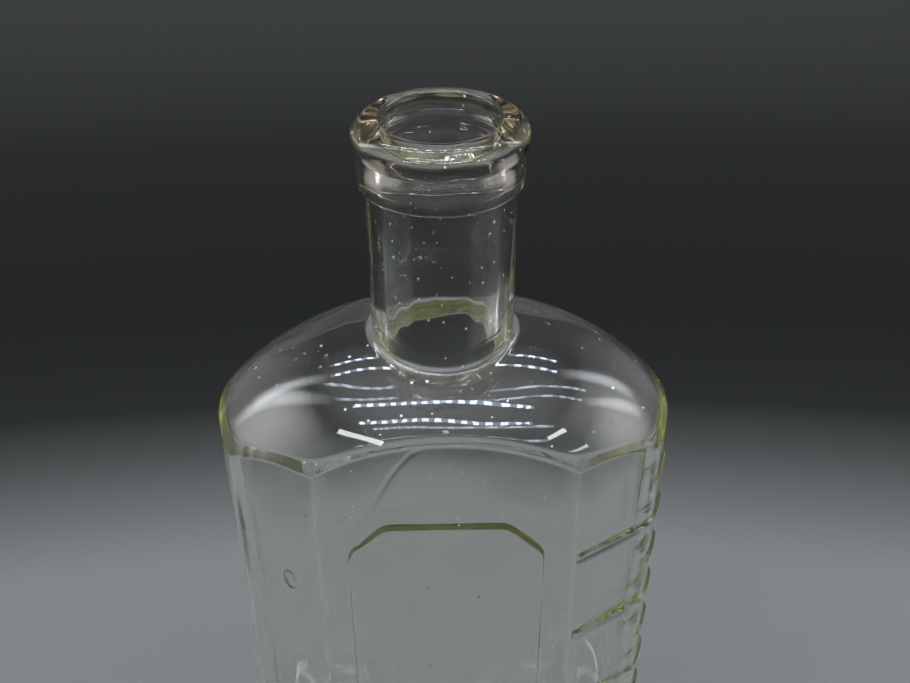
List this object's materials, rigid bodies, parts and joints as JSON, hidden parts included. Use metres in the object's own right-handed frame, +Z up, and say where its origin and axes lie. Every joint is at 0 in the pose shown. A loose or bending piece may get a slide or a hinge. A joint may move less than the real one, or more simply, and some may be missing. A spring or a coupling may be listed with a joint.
{
  "type": "antique glass bottle",
  "caption": "Oval mould-blown prescription bottle of clear glass with a flat bevelled front, domed shoulder, round neck and a tooled lip over an open mouth.",
  "frame": {"origin": "on the surface the bottle stands on, under the middle of the box that holds it", "axes": "+Z up through the mouth, -Y out of the flat front panel, +X to the bottle's right as seen from the front"},
  "size_m": [0.068, 0.0432, 0.187],
  "materials": {
    "body_glass": "mould-blown soda-lime glass, clear with a faint straw and olive tint, a few seeds",
    "lip_glass": "fire-polished and tooled glass, clear with a faint amber tint"
  },
  "bodies": {
    "root": {"blown_body": "body_glass", "applied_lip": "lip_glass"}
  },
  "joints": []
}
